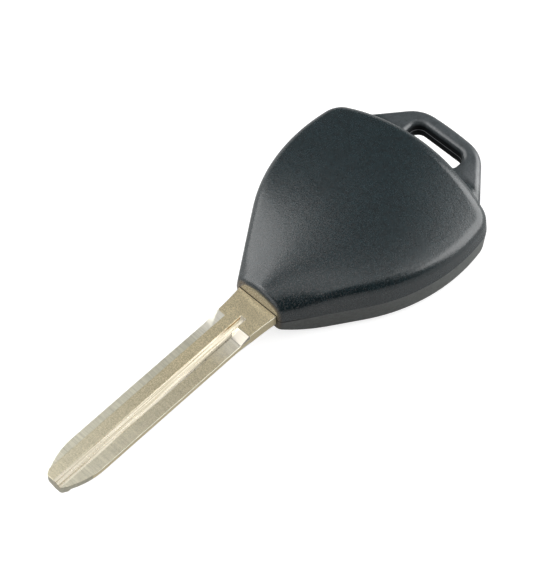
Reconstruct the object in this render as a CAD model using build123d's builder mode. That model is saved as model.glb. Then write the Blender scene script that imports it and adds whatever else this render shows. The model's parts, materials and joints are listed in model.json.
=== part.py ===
from build123d import *
import os
from math import asin, atan2, ceil, cos, exp, hypot, radians, sin, sqrt, tan

os.makedirs("parts", exist_ok=True)

# A remote car key with a fixed blade. It lies on its button face, blade along -X, ring loop at +X.
# Z = 0 is the table. Stations along the key are counted from the bolster, where the blade leaves
# the head, and run towards the ring loop.

# Overall
blade_length = 46.8
head_length = 49.0
bolster_x = (blade_length - head_length) / 2

# Head, in plan
head_width = 37.7
bolster_width = 10.2
loop_reach = 7.3
back_reach = head_length - loop_reach
widest_to_back = 11.4
widest_at = back_reach - widest_to_back
side_arc_ahead = 2.3
side_radius = widest_at + side_arc_ahead
back_radius = 50.0
back_corner_radius = 4.5
lead = 1.5

# Head, heights above the table
parting_height = 5.2
head_height = 12.5
side_draft = 6.0
crown_apex_ahead = 2.3
crown_apex_at = widest_at - crown_apex_ahead
crown_length_radius = 160.0
crown_cross_radius = 50.0
bolster_cross_radius = 6.0
curl_reach = 4.6
curl_power = 1.3
crown_step = 4.0
crown_margin = 0.8
crown_edge_radius = 2.6
front_draft = 4.0
front_edge_radius = 1.5
toe_rise = 2.4
toe_reach = 8.0
end_edge_radius = 1.3

# Ring loop
loop_root_step = 6.25
loop_root_width = head_width - 2 * loop_root_step
loop_taper = 11.4
loop_far_width = loop_root_width - loop_taper
loop_far_bulge = 0.4
loop_corner_radius = 6.5
loop_half_thickness = 2.1
loop_edge_radius = 1.2
loop_draft = 3.0
loop_overlap = 5.0
blend_radius = 1.6
ring_bar = 3.0
slot_side = 1.3
slot_length = loop_far_width - 2 * slot_side
slot_width = 4.3
slot_corner_radius = 1.8
slot_rim_radius = 1.0

# Shells
wall = 1.6
inner_edge_radius = 1.0
tongue_thickness = 0.8
tongue_height = 0.9
tongue_depth = 1.2
tongue_root = 0.3
hook_length = 4.0
hook_reach = 0.3
hook_height = 0.4
hook_drop = 0.1
hook_spread = 7.0
fit_gap = 0.05

# Blade
blade_width = 7.5
root_width = 8.5
blade_thickness = 2.3
flare_length = 8.0
nose_length = 7.5
nose_width = 3.0
nose_radius = 0.7
rib_outer = 2.14
rib_inner = 0.16
flank_foot = 1.51
edge_strip_depth = 0.5
deep_strip_depth = 0.7
edge_strip_end = 5.5
edge_ramp = 3.4
deep_strip_end = 6.0
deep_ramp = 1.9
runout_end = 3.65
runout_ramp = 6.0
runout_width = 1.15

# Tang, the part of the blade inside the head
tang_shoulder = 1.8
tang_neck_width = 6.6
tang_hole_radius = 1.2
tang_hole_shares = (0.365, 0.795)
stud_gap = 0.05
stud_height = 0.1
cradle_wall = 1.5
cradle_end_wall = 0.8
tang_gap = 0.04

# Transponder chip, over the tang
chip_front_wall = 3.1
chip_end_wall = 1.3
chip_width = 5.0
chip_thickness = 1.9
chip_corner_radius = 0.5

# Buttons
cap_face = 0.15
button_gap = 0.15
button_edge_radius = 0.45
flange_reach = 0.5
flange_thickness = 0.45
field_depth = 0.45
field_margin = 1.6
field_corner_radius = 4.0
row_ahead = 0.7
row_gap = 1.5
main_cap_side = 11.35
main_cap_length = head_width - 2 * main_cap_side
panic_cap_side = 2.5
panic_cap_length = main_cap_length - 2 * panic_cap_side
panic_cap_width = 5.0
main_cap_width = 6.6
cap_roundness = 0.36

# Keypad mat
mat_thickness = 0.45
mat_corner_radius = 4.0
mat_rib = 0.9
peg_radius = 1.3
peg_height = 1.4
peg_gap = 0.2

# Remote module
module_gap = 1.2
module_inset = 3.2
module_corner_radius = 1.6
least_corner_radius = 0.4
case_floor = 0.7
case_wall = 0.9
board_post_radius = 0.9
board_post_inset = 3.4
board_post_spread = 8.2
case_post_radius = 1.0
case_post_inset = 1.7
case_post_spread = 7.2
gasket_thickness = 0.2
gasket_width = 0.5
lid_thickness = 0.7
lid_edge_radius = 0.4
lid_rib_width = 0.6
lid_rib_depth = 0.5
support_pitch = 7.0
support_width = 1.0
support_length = 9.6

# Circuit board and what stands on it
board_thickness = 0.8
board_gap = 0.25
dome_radius = 2.4
dome_crown_radius = 1.1
dome_height = 0.3
dome_sheet = 0.1
controller_size = 3.0
controller_height = 0.9
controller_chamfer = 0.15
crystal_length = 3.2
crystal_width = 1.5
crystal_height = 0.8
resonator_size = 2.2
resonator_height = 1.0
trimmer_size = 2.2
trimmer_height = 1.1
trimmer_body_height = 0.75
trimmer_screw_radius = 0.8
can_corner_radius = 0.3
part_orbit_gap = 2.6
front_part_angle = 40.0
back_part_angle = 55.0

# Coin cell and its contacts
battery_radius = 10.0
battery_room = 1.05
battery_thickness = 1.6
battery_rim = 1.2
battery_step = 0.25
battery_edge_radius = 0.25
contact_sheet = 0.15
contact_width = 5.0
contact_leg_gap = 0.3
contact_foot = 1.2
plate_length = 11.0
plate_corner_radius = 1.0
slit_width = 0.6
slit_length = 3.6
slit_spacing = 5.5

# Rough stock beyond a finished shape, and how near an edge is to a plane that it counts as on
overshoot = 10.0
near = 0.02

# Stations that follow from those above; the module is as long as its coin cell needs
module_end = back_reach - module_inset
module_half_length = battery_radius + battery_room + case_wall
module_middle = module_end - module_half_length
module_start = module_middle - module_half_length
cradle_length = module_start - module_gap
tang_length = cradle_length - cradle_end_wall
tang_holes = [share * tang_length for share in tang_hole_shares]
chip_length = cradle_length - chip_front_wall - chip_end_wall
chip_at = chip_front_wall + chip_length / 2
hook_stations = (module_middle - hook_spread, module_middle + hook_spread)
lock_at = module_start + row_ahead + main_cap_width / 2
unlock_at = lock_at + main_cap_width + row_gap
panic_at = unlock_at + (main_cap_width + panic_cap_width) / 2 + row_gap

# Heights that follow from those above
flange_base = wall + fit_gap
flange_top = flange_base + flange_thickness
mat_base = flange_top + fit_gap
mat_top = mat_base + mat_thickness
case_base = mat_top + 2 * fit_gap
case_inside = case_base + case_floor
peg_top = mat_top + peg_height
board_base = peg_top + fit_gap + dome_height
board_top = board_base + board_thickness
plate_top = board_top + contact_sheet
battery_base = plate_top + fit_gap
battery_top = battery_base + battery_thickness
contact_top = battery_top + contact_sheet
case_rim = contact_top + fit_gap
lid_base = case_rim + gasket_thickness
lid_top = lid_base + lid_thickness
blade_top = parting_height + blade_thickness / 2
blade_base = parting_height - blade_thickness / 2
chip_base = blade_top + stud_height + fit_gap


def at(station):
    """X of a place counted from the bolster towards the ring loop."""
    return bolster_x + station


def circles_meet(first, first_radius, second, second_radius):
    """Upper meeting point of two circles in the head's plan."""
    run = second[0] - first[0]
    rise = second[1] - first[1]
    apart = hypot(run, rise)
    along = (first_radius**2 - second_radius**2 + apart**2) / (2 * apart)
    across = sqrt(first_radius**2 - along**2)
    middle = (first[0] + along * run / apart, first[1] + along * rise / apart)
    low = (middle[0] + across * rise / apart, middle[1] - across * run / apart)
    high = (middle[0] - across * rise / apart, middle[1] + across * run / apart)
    return max(low, high, key=lambda point: point[1])


# The straight flanks leave the bolster and run tangent into the round sides
side_centre = (widest_at, head_width / 2 - side_radius)
centre_rise = side_centre[1] - bolster_width / 2
flank_angle = atan2(centre_rise, widest_at) + asin(side_radius / hypot(widest_at, centre_rise))
back_centre = (back_reach - back_radius, 0)


def head_plan(height, inset=0.0, start=-lead):
    """Plan of the thick part of the head, carried a little past the bolster or cut at a station."""
    side = side_radius - inset
    back = back_radius - inset
    flank_at = side_centre[0] - side * sin(flank_angle)
    flank_half = side_centre[1] + side * cos(flank_angle)
    start_half = flank_half - (flank_at - start) * tan(flank_angle)
    corner = circles_meet(side_centre, side, back_centre, back)
    with BuildSketch(Plane.XY.offset(height)) as plan:
        with BuildLine():
            Line((at(start), -start_half), (at(flank_at), -flank_half))
            TangentArc(
                (at(flank_at), -flank_half),
                (at(corner[0]), -corner[1]),
                tangent=(cos(flank_angle), -sin(flank_angle)),
            )
            mirror(about=Plane.XZ)
            Line((at(start), -start_half), (at(start), start_half))
            ThreePointArc(
                (at(corner[0]), -corner[1]), (at(back_reach - inset), 0), (at(corner[0]), corner[1])
            )
        make_face()
        fillet(plan.vertices().sort_by(Axis.X)[-2:], max(back_corner_radius - inset, least_corner_radius))
    return plan.sketch


def half_width(station, inset):
    """Half the width of the head at a station on its round sides, drawn the inset inside them."""
    return side_centre[1] + sqrt((side_radius - inset) ** 2 - (station - side_centre[0]) ** 2)


def crown_curl(station):
    """Curvature across the crown. It is greatest at the bolster and fades away towards the loop."""
    fade = exp(-((max(station, 0) / curl_reach) ** curl_power))
    return (1 - fade) / crown_cross_radius + fade / bolster_cross_radius


def crown(inset=0.0):
    """Block whose skin is the domed back of the head, lofted through even stations."""
    top = head_height - inset
    length_radius = crown_length_radius - inset
    with BuildPart() as block:
        for count in range(-1, ceil(head_length / crown_step) + 2):
            station = count * crown_step
            radius = 1 / crown_curl(station) - inset
            flank = min(bolster_width / 2 + station * tan(flank_angle), head_width / 2)
            reach = flank + crown_margin - inset
            skin = top - length_radius + sqrt(length_radius**2 - (station - crown_apex_at) ** 2)
            side = skin - radius + sqrt(radius**2 - reach**2)
            with BuildSketch(Plane.YZ.offset(at(station))):
                with BuildLine():
                    ThreePointArc((-reach, side), (0, skin), (reach, side))
                    Polyline((reach, side), (reach, -overshoot), (-reach, -overshoot), (-reach, side))
                make_face()
        loft()
    return block.part


def drafted(inset, rise, draft):
    """Head raised from its plan with leaning sides; a negative rise goes down from the parting plane."""
    with BuildPart() as form:
        add(head_plan(parting_height, inset))
        add(head_plan(parting_height + rise, inset + abs(rise) * tan(radians(draft))))
        loft(ruled=True)
    return form.part


def past_end(inset):
    """Block that keeps only what lies beyond the end face of the head."""
    with BuildPart() as block:
        with Locations((at(inset), 0, 0)):
            Box(
                2 * head_length,
                2 * head_width,
                4 * head_height,
                align=(Align.MIN, Align.CENTER, Align.CENTER),
            )
    return block.part


def end_edges(form, station):
    """Edges round the end face of the head, apart from the one on the parting plane."""
    on_end = form.edges().filter_by(lambda e: abs(e.center().X - at(station)) < near)
    return on_end.filter_by(lambda e: abs(e.center().Z - parting_height) > near)


def upper_head(inset=0.0, edge_radius=crown_edge_radius):
    """Domed upper half of the head, drawn the inset inside its outer skin."""
    with BuildPart() as form:
        add(drafted(inset, head_height - parting_height + lead, side_draft))
        add(crown(inset), mode=Mode.INTERSECT)
        top = form.faces().sort_by(Axis.Z)[-1]
        fillet(top.edges().filter_by(lambda e: e.center().X > at(-lead) + near), edge_radius)
        add(past_end(inset), mode=Mode.INTERSECT)
        if inset == 0:
            fillet(end_edges(form, 0), end_edge_radius)
    return form.part


def toe(inset=0.0):
    """Everything above the button face, which lifts off the table towards the bolster."""
    radius = (toe_reach**2 + toe_rise**2) / (2 * toe_rise)
    start = -2 * lead
    start_height = radius - sqrt((radius - inset) ** 2 - (toe_reach - start) ** 2)
    with BuildPart() as form:
        with BuildSketch(Plane.XZ):
            with BuildLine():
                TangentArc((at(toe_reach), inset), (at(start), start_height), tangent=(-1, 0))
                Polyline(
                    (at(start), start_height),
                    (at(start), head_height),
                    (at(head_length), head_height),
                    (at(head_length), inset),
                    (at(toe_reach), inset),
                )
            make_face()
        extrude(amount=head_width, both=True)
    return form.part


def lower_head(inset=0.0, edge_radius=front_edge_radius):
    """Flat lower half of the head, drawn the inset inside its outer skin."""
    with BuildPart() as form:
        add(drafted(inset, -parting_height, front_draft))
        add(toe(inset), mode=Mode.INTERSECT)
        under = form.faces().filter_by(lambda f: f.normal_at().Z < -0.5)
        rims = under.edges().filter_by(lambda e: abs(e.center().X - at(toe_reach)) > near)
        fillet(rims.filter_by(lambda e: e.center().X > at(-lead) + near), edge_radius)
        add(past_end(inset), mode=Mode.INTERSECT)
        if inset == 0:
            fillet(end_edges(form, 0), end_edge_radius)
    return form.part


def loop_plan(height):
    """Plan of the ring loop, carried into the head."""
    far_at = head_length - loop_far_bulge
    slope = (loop_root_width - loop_far_width) / 2 / (far_at - back_reach)
    inner_at = back_reach - loop_overlap
    inner_half = loop_root_width / 2 + slope * loop_overlap
    far_half = loop_far_width / 2
    with BuildSketch(Plane.XY.offset(height)) as plan:
        with BuildLine():
            Line((at(inner_at), -inner_half), (at(far_at), -far_half))
            ThreePointArc((at(far_at), -far_half), (at(head_length), 0), (at(far_at), far_half))
            Line((at(far_at), far_half), (at(inner_at), inner_half))
            Line((at(inner_at), inner_half), (at(inner_at), -inner_half))
        make_face()
        fillet(plan.vertices().sort_by(Axis.X)[-2:], loop_corner_radius)
    return plan.sketch


def upper_loop():
    """Upper half of the ring loop, without its slot."""
    with BuildPart() as form:
        add(loop_plan(parting_height))
        extrude(amount=loop_half_thickness, taper=loop_draft)
        top = form.faces().sort_by(Axis.Z)[-1]
        inner_edge = top.edges().sort_by(Axis.X)[0]
        fillet([e for e in top.edges() if e != inner_edge], loop_edge_radius)
    return form.part


slot_at = head_length - ring_bar - slot_width / 2


def slot_cutter():
    """Straight hole for the split ring, up and down through the whole loop."""
    with BuildPart() as cutter:
        with BuildSketch(Plane.XY.offset(parting_height)):
            with Locations((at(slot_at), 0)):
                RectangleRounded(slot_width, slot_length, slot_corner_radius)
        extrude(amount=head_height, both=True)
    return cutter.part


def slot_rim(form, face_height):
    """Edges where the slot comes out of the loop's face."""
    rim = form.edges().filter_by(lambda e: abs(e.center().Z - face_height) < near)
    rim = rim.filter_by(lambda e: abs(e.center().X - at(slot_at)) < slot_width / 2 + near)
    return rim.filter_by(lambda e: abs(e.center().Y) < slot_length / 2 + near)


def looped(head, loop, slot, face_height):
    """Half of the head with its half of the loop, blended, slotted and with a round slot rim."""
    with BuildPart() as form:
        add(head)
        add(loop)
        seam = new_edges(head, loop, combined=form.part)
        fillet(seam.filter_by(lambda e: abs(e.center().Z - parting_height) > near), blend_radius)
        add(slot, mode=Mode.SUBTRACT)
        fillet(slot_rim(form, face_height), slot_rim_radius)
    return form.part


def under_loop():
    """Lower half of the ring loop, the mirror of the upper one."""
    with BuildPart() as form:
        add(upper_loop())
        mirror(about=Plane.XY.offset(parting_height), mode=Mode.REPLACE)
    return form.part


def module_plan(height, inset=0.0):
    """Plan of the remote module, which follows the inside of the head."""
    with BuildSketch(Plane.XY.offset(height)) as plan:
        add(head_plan(0, module_inset + inset, cradle_length / 2))
        with Locations((at(module_start + inset), 0)):
            Rectangle(head_length, head_width, align=(Align.MIN, Align.CENTER), mode=Mode.INTERSECT)
        fillet(plan.vertices().sort_by(Axis.X)[:2], max(module_corner_radius - inset, least_corner_radius))
    return plan.sketch


buttons = {
    "lock": (main_cap_length, main_cap_width, lock_at),
    "unlock": (main_cap_length, main_cap_width, unlock_at),
    "panic": (panic_cap_length, panic_cap_width, panic_at),
}


def cap_plan(height, length, width, station, margin=0.0):
    """Rounded plan of a button, grown by a margin."""
    with BuildSketch(Plane.XY.offset(height)) as plan:
        with Locations((at(station), 0)):
            RectangleRounded(width + 2 * margin, length + 2 * margin, cap_roundness * width + margin)
    return plan.sketch


def field_plan(height):
    """Shallow bay round the buttons; it narrows towards the small one."""
    first = lock_at - main_cap_width / 2 - field_margin
    knee = unlock_at + main_cap_width / 2
    last = panic_at + panic_cap_width / 2 + field_margin
    wide = main_cap_length / 2 + field_margin
    narrow = panic_cap_length / 2 + field_margin
    with BuildSketch(Plane.XY.offset(height)) as plan:
        with BuildLine():
            Polyline(
                (at(first), -wide),
                (at(knee), -wide),
                (at(last), -narrow),
                (at(last), narrow),
                (at(knee), wide),
                (at(first), wide),
                close=True,
            )
        make_face()
        fillet(plan.vertices(), field_corner_radius)
    return plan.sketch


# The mat reaches past the button flanges to the rib that carries it
mat_margin = flange_reach + 2 * fit_gap + mat_rib
mat_start = lock_at - main_cap_width / 2 - mat_margin
mat_end = panic_at + panic_cap_width / 2 + mat_margin
mat_width = main_cap_length + 2 * mat_margin


def mat_plan(height, inset=0.0):
    """Plan of the soft mat behind the buttons."""
    with BuildSketch(Plane.XY.offset(height)) as plan:
        with Locations((at(mat_start + inset), 0)):
            RectangleRounded(
                mat_end - mat_start - 2 * inset,
                mat_width - 2 * inset,
                mat_corner_radius - inset,
                align=(Align.MIN, Align.CENTER),
            )
    return plan.sketch


def tongue():
    """Aligning wall of the front cover. Its foot is one with the outer wall, and its upper part
    stands inside the rear cover and leans as that wall does."""
    outer = wall + fit_gap
    inner = outer + tongue_thickness
    with BuildPart() as ring:
        add(drafted(outer, tongue_height, side_draft))
        add(head_plan(parting_height, wall - tongue_root))
        extrude(amount=-tongue_depth)
        add(drafted(inner, tongue_height, side_draft), mode=Mode.SUBTRACT)
        add(head_plan(parting_height, inner))
        extrude(amount=-tongue_depth, mode=Mode.SUBTRACT)
        with Locations((at(cradle_length), 0, parting_height)):
            Box(
                head_length,
                head_width,
                head_height,
                align=(Align.MIN, Align.CENTER, Align.CENTER),
                mode=Mode.INTERSECT,
            )
    return ring.part


def hooks(grow=0.0):
    """Snap noses on the tongue, or the pockets for them in the rear cover when grown."""
    hook_top = parting_height + tongue_height - hook_drop
    with BuildPart() as noses:
        for station in hook_stations:
            out = half_width(station, wall)
            turn = atan2(side_centre[0] - station, out - side_centre[1])
            for side in (-1, 1):
                place = Plane(
                    origin=(at(station), side * out, hook_top - hook_height / 2),
                    x_dir=(cos(turn), side * sin(turn), 0),
                    z_dir=(0, 0, 1),
                )
                with Locations(place):
                    Box(hook_length + 2 * grow, 2 * (hook_reach + grow), hook_height + 2 * grow)
    return noses.part


def tang_plan(height, lead_in=0.0, margin=0.0):
    """Plan of the tang: a broad shoulder at the bolster and a narrower neck behind it."""
    with BuildSketch(Plane.XY.offset(height)) as plan:
        with Locations((at(-lead_in), 0)):
            Rectangle(
                tang_shoulder + lead_in + margin,
                root_width + 2 * margin,
                align=(Align.MIN, Align.CENTER),
            )
            Rectangle(
                tang_length + lead_in + margin,
                tang_neck_width + 2 * margin,
                align=(Align.MIN, Align.CENTER),
            )
    return plan.sketch


def cradle(form, low):
    """Solid bed for the tang, as much of it as lies inside the given half of the head."""
    with BuildPart() as bed:
        with Locations((at(0), 0, low)):
            Box(
                cradle_length,
                root_width + 2 * cradle_wall,
                head_height,
                align=(Align.MIN, Align.CENTER, Align.MIN),
            )
        add(form, mode=Mode.INTERSECT)
    return bed.part


# Rear cover: the domed shell that faces up
rear_form = upper_head()
rear_outer = looped(rear_form, upper_loop(), slot_cutter(), parting_height + loop_half_thickness)
rear_hollow = upper_head(wall, inner_edge_radius)
rear_bed = cradle(rear_form, parting_height)
hook_pockets = hooks(fit_gap)
with BuildPart() as rear_cover:
    add(rear_outer)
    add(rear_hollow, mode=Mode.SUBTRACT)
    add(rear_bed)
    # upper half of the tang's bed, with the pocket for the transponder chip over it
    add(tang_plan(parting_height, lead, tang_gap))
    extrude(amount=blade_thickness / 2 + tang_gap, mode=Mode.SUBTRACT)
    with BuildSketch(Plane.XY.offset(parting_height)):
        with Locations((at(chip_at), 0)):
            RectangleRounded(chip_length + 2 * fit_gap, chip_width + 2 * fit_gap, chip_corner_radius)
    extrude(amount=chip_base + chip_thickness + fit_gap - parting_height, mode=Mode.SUBTRACT)
    add(hook_pockets, mode=Mode.SUBTRACT)
    # ribs that hold the module down
    for row in (-support_pitch, 0, support_pitch):
        with BuildSketch(Plane.XY.offset(lid_top + fit_gap)):
            with Locations((at(module_middle), row)):
                Rectangle(support_length, support_width)
        extrude(until=Until.NEXT)
rear_cover.part.label = "rear_cover"
export_step(rear_cover.part, "parts/rear_cover.step")

# Front cover: the flat shell with the buttons, which faces down
front_form = lower_head()
front_outer = looped(front_form, under_loop(), slot_cutter(), parting_height - loop_half_thickness)
front_hollow = lower_head(wall, inner_edge_radius)
front_bed = cradle(front_form, parting_height - head_height)
front_tongue = tongue()
front_hooks = hooks()
with BuildPart() as front_cover:
    add(front_outer)
    add(front_hollow, mode=Mode.SUBTRACT)
    add(front_bed)
    # lower half of the tang's bed
    add(tang_plan(parting_height, lead, tang_gap))
    extrude(amount=-(blade_thickness / 2 + tang_gap), mode=Mode.SUBTRACT)
    # studs that pin the tang through its holes
    for station in tang_holes:
        with Locations((at(station), 0, wall)):
            Cylinder(
                tang_hole_radius - stud_gap,
                blade_top + stud_height - wall,
                align=(Align.CENTER, Align.CENTER, Align.MIN),
            )
    add(front_tongue)
    add(front_hooks)
    # bay of the buttons and their openings
    add(field_plan(0))
    extrude(amount=field_depth, mode=Mode.SUBTRACT)
    for length, width, station in buttons.values():
        add(cap_plan(0, length, width, station, button_gap))
        extrude(amount=wall, mode=Mode.SUBTRACT)
    # rib that carries the rim of the mat
    add(mat_plan(wall))
    extrude(amount=mat_base - wall)
    add(mat_plan(wall, mat_rib))
    extrude(amount=mat_base - wall, mode=Mode.SUBTRACT)
    # posts under the module
    for station in (module_middle - case_post_spread, module_middle + case_post_spread):
        across = half_width(station, module_inset + case_post_inset)
        with Locations((at(station), -across, wall), (at(station), across, wall)):
            Cylinder(case_post_radius, case_base - wall, align=(Align.CENTER, Align.CENTER, Align.MIN))
front_cover.part.label = "front_cover"
export_step(front_cover.part, "parts/front_cover.step")

# Key blade: an uncut blank, milled alike on both faces, and its tang
half = blade_thickness / 2
past_tip = -blade_length - nose_width
with BuildPart() as milling:
    # strip beside the rib, along one edge
    with BuildSketch(Plane.XZ):
        with BuildLine():
            Polyline(
                (at(past_tip), half - edge_strip_depth),
                (at(-edge_strip_end - edge_ramp), half - edge_strip_depth),
                (at(-edge_strip_end), half),
                (at(-edge_strip_end), blade_thickness),
                (at(past_tip), blade_thickness),
                close=True,
            )
        make_face()
    extrude(amount=-blade_width)
    with Locations((at(0), rib_outer, 0)):
        Box(
            2 * blade_length,
            blade_width,
            2 * blade_width,
            align=(Align.CENTER, Align.MIN, Align.CENTER),
            mode=Mode.INTERSECT,
        )
with BuildPart() as flank:
    # section of the deeper strip along the other edge, with its sloping side
    with BuildSketch(Plane.YZ.offset(at(past_tip))):
        with BuildLine():
            Polyline(
                (rib_inner, half),
                (-flank_foot, half - deep_strip_depth),
                (-blade_width, half - deep_strip_depth),
                (-blade_width, blade_thickness),
                (rib_inner, blade_thickness),
                close=True,
            )
        make_face()
    extrude(amount=blade_length + nose_width)
with BuildPart() as deep_strip:
    with BuildSketch(Plane.XZ):
        with BuildLine():
            Polyline(
                (at(past_tip), half - deep_strip_depth),
                (at(-deep_strip_end - deep_ramp), half - deep_strip_depth),
                (at(-deep_strip_end), half),
                (at(-deep_strip_end), blade_thickness),
                (at(past_tip), blade_thickness),
                close=True,
            )
        make_face()
    extrude(amount=blade_width, both=True)
    add(flank.part, mode=Mode.INTERSECT)
with BuildPart() as runout:
    # narrow channel that runs out beside the rib, nearer the bolster
    with BuildSketch(Plane.XZ):
        with BuildLine():
            Polyline(
                (at(-runout_end - runout_ramp), half - deep_strip_depth),
                (at(-runout_end), half),
                (at(-runout_end), blade_thickness),
                (at(-runout_end - runout_ramp), blade_thickness),
                close=True,
            )
        make_face()
    extrude(amount=blade_width, both=True)
    with Locations((at(0), rib_inner, 0)):
        Box(
            2 * blade_length,
            runout_width,
            2 * blade_width,
            align=(Align.CENTER, Align.MAX, Align.CENTER),
            mode=Mode.INTERSECT,
        )
    add(flank.part, mode=Mode.INTERSECT)

with BuildPart() as key_blade:
    with BuildSketch(Plane.XY.offset(blade_base)) as blank:
        with BuildLine():
            straight = Line(
                (at(nose_length - blade_length), -blade_width / 2),
                (at(-flare_length), -blade_width / 2),
            )
            TangentArc(straight @ 1, (at(0), -root_width / 2), tangent=(1, 0))
            Line((at(0), -root_width / 2), (at(0), 0))
            TangentArc(straight @ 0, (at(-blade_length), -nose_width / 2), tangent=(-1, 0))
            Line((at(-blade_length), -nose_width / 2), (at(-blade_length), 0))
            mirror(about=Plane.XZ)
        make_face()
        fillet(blank.vertices().sort_by(Axis.X)[:2], nose_radius)
    extrude(amount=blade_thickness)
    add(tang_plan(blade_base))
    extrude(amount=blade_thickness)
    for station in tang_holes:
        with Locations((at(station), 0, parting_height)):
            Cylinder(tang_hole_radius, 2 * blade_thickness, mode=Mode.SUBTRACT)
    for turn in (0, 180):
        with Locations(Location((0, 0, parting_height), (turn, 0, 0))):
            add(milling.part, mode=Mode.SUBTRACT)
            add(deep_strip.part, mode=Mode.SUBTRACT)
            add(runout.part, mode=Mode.SUBTRACT)
key_blade.part.label = "key_blade"
export_step(key_blade.part, "parts/key_blade.step")

# Transponder chip in its pocket over the tang
with BuildPart() as transponder_chip:
    with BuildSketch(Plane.XY.offset(chip_base)):
        with Locations((at(chip_at), 0)):
            RectangleRounded(chip_length, chip_width, chip_corner_radius)
    extrude(amount=chip_thickness)
transponder_chip.part.label = "transponder_chip"
export_step(transponder_chip.part, "parts/transponder_chip.step")

# Buttons, each with a flange that stops it behind the front wall
for name, (length, width, station) in buttons.items():
    with BuildPart() as button:
        add(cap_plan(cap_face, length, width, station))
        extrude(amount=flange_top - cap_face)
        fillet(button.faces().sort_by(Axis.Z)[0].edges(), button_edge_radius)
        add(cap_plan(flange_base, length, width, station, flange_reach))
        extrude(amount=flange_thickness)
    button.part.label = "button_" + name
    export_step(button.part, "parts/button_" + name + ".step")

# Keypad mat with a peg behind each button
with BuildPart() as keypad_mat:
    add(mat_plan(mat_base))
    extrude(amount=mat_thickness)
    for length, width, station in buttons.values():
        with Locations((at(station), 0, mat_base)):
            Cylinder(peg_radius, peg_top - mat_base, align=(Align.CENTER, Align.CENTER, Align.MIN))
keypad_mat.part.label = "keypad_mat"
export_step(keypad_mat.part, "parts/keypad_mat.step")

# Case of the remote module
with BuildPart() as module_case:
    add(module_plan(case_base))
    extrude(amount=case_rim - case_base)
    add(module_plan(case_inside, case_wall))
    extrude(amount=case_rim - case_inside, mode=Mode.SUBTRACT)
    for station in (module_middle - board_post_spread, module_middle + board_post_spread):
        across = half_width(station, module_inset + board_post_inset)
        with Locations((at(station), -across, case_base), (at(station), across, case_base)):
            Cylinder(
                board_post_radius,
                board_base - case_base,
                align=(Align.CENTER, Align.CENTER, Align.MIN),
            )
    for length, width, station in buttons.values():
        with Locations((at(station), 0, case_base)):
            Cylinder(peg_radius + peg_gap, 2 * case_floor, mode=Mode.SUBTRACT)
module_case.part.label = "module_case"
export_step(module_case.part, "parts/module_case.step")

# Gasket and lid of the module
gasket_inset = (case_wall - gasket_width) / 2
with BuildPart() as module_gasket:
    add(module_plan(case_rim, gasket_inset))
    extrude(amount=gasket_thickness)
    add(module_plan(case_rim, gasket_inset + gasket_width))
    extrude(amount=gasket_thickness, mode=Mode.SUBTRACT)
module_gasket.part.label = "module_gasket"
export_step(module_gasket.part, "parts/module_gasket.step")

with BuildPart() as module_lid:
    add(module_plan(lid_base))
    extrude(amount=lid_thickness)
    fillet(module_lid.faces().sort_by(Axis.Z)[-1].edges(), lid_edge_radius)
    add(module_plan(lid_base, case_wall + fit_gap))
    extrude(amount=-gasket_thickness - lid_rib_depth)
    add(module_plan(lid_base, case_wall + fit_gap + lid_rib_width))
    extrude(amount=-gasket_thickness - lid_rib_depth, mode=Mode.SUBTRACT)
module_lid.part.label = "module_lid"
export_step(module_lid.part, "parts/module_lid.step")

# Circuit board
with BuildPart() as circuit_board:
    add(module_plan(board_base, case_wall + board_gap))
    extrude(amount=board_thickness)
circuit_board.part.label = "circuit_board"
export_step(circuit_board.part, "parts/circuit_board.step")

# Snap domes under the board, one over each peg, pressed from thin sheet
dome_slope = (dome_radius - dome_crown_radius) / dome_height
for name, (length, width, station) in buttons.items():
    with BuildPart() as dome:
        with BuildSketch(Plane(origin=(at(station), 0, board_base), x_dir=(1, 0, 0), z_dir=(0, -1, 0))):
            with BuildLine():
                Polyline(
                    (0, -dome_height),
                    (dome_crown_radius, -dome_height),
                    (dome_radius, 0),
                    (dome_radius - dome_slope * dome_sheet, 0),
                    (dome_crown_radius, dome_sheet - dome_height),
                    (0, dome_sheet - dome_height),
                    close=True,
                )
            make_face()
        revolve(axis=Axis((at(station), 0, 0), (0, 0, 1)))
    dome.part.label = "dome_" + name
    export_step(dome.part, "parts/dome_" + name + ".step")

# Parts soldered to the board, in its corners beside the coin cell
part_orbit = battery_radius + part_orbit_gap
front_parts_at = module_middle - part_orbit * cos(radians(front_part_angle))
front_across = part_orbit * sin(radians(front_part_angle))
back_parts_at = module_middle + part_orbit * cos(radians(back_part_angle))
back_across = part_orbit * sin(radians(back_part_angle))
with BuildPart() as microcontroller:
    with Locations((at(back_parts_at), back_across, board_top)):
        Box(
            controller_size,
            controller_size,
            controller_height,
            align=(Align.CENTER, Align.CENTER, Align.MIN),
        )
    chamfer(microcontroller.faces().sort_by(Axis.Z)[-1].edges(), controller_chamfer)
microcontroller.part.label = "microcontroller"
export_step(microcontroller.part, "parts/microcontroller.step")

with BuildPart() as crystal:
    with BuildSketch(Plane.XY.offset(board_top)):
        with Locations((at(back_parts_at), -back_across)):
            SlotOverall(crystal_length, crystal_width)
    extrude(amount=crystal_height)
crystal.part.label = "crystal"
export_step(crystal.part, "parts/crystal.step")

with BuildPart() as resonator:
    with BuildSketch(Plane.XY.offset(board_top)):
        with Locations((at(front_parts_at), -front_across)):
            RectangleRounded(resonator_size, resonator_size, can_corner_radius)
    extrude(amount=resonator_height)
resonator.part.label = "resonator"
export_step(resonator.part, "parts/resonator.step")

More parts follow.
